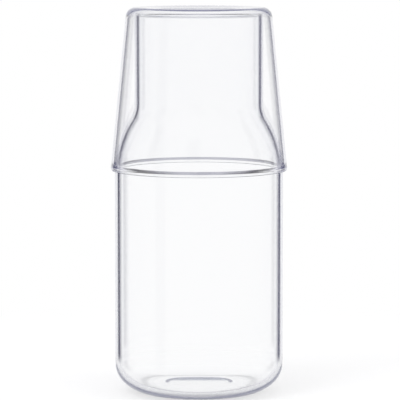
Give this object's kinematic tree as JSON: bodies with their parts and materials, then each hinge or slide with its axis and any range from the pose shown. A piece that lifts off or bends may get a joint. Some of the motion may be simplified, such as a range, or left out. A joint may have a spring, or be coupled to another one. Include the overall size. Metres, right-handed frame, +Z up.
{
  "type": "bedside carafe with tumbler",
  "caption": "Clear glass water carafe with a straight body, rounded shoulder and wide neck, and a flared tumbler that stands upside down over the neck as its lid.",
  "frame": {"origin": "middle of the surface that the carafe stands on, under the foot", "axes": "+Z up along the axis of both pieces, towards the tumbler's base; both are round, so X and Y are any two level directions"},
  "size_m": [0.0892, 0.0892, 0.1953],
  "materials": {
    "carafe_glass": "clear",
    "tumbler_glass": "clear"
  },
  "bodies": {
    "carafe": {"carafe": "carafe_glass"},
    "tumbler": {"tumbler": "tumbler_glass"}
  },
  "joints": [
    {"name": "tumbler_lift", "type": "slide", "parent": "carafe", "child": "tumbler", "axis": [0, 0, 1], "range_m": [0, 0.12]}
  ]
}
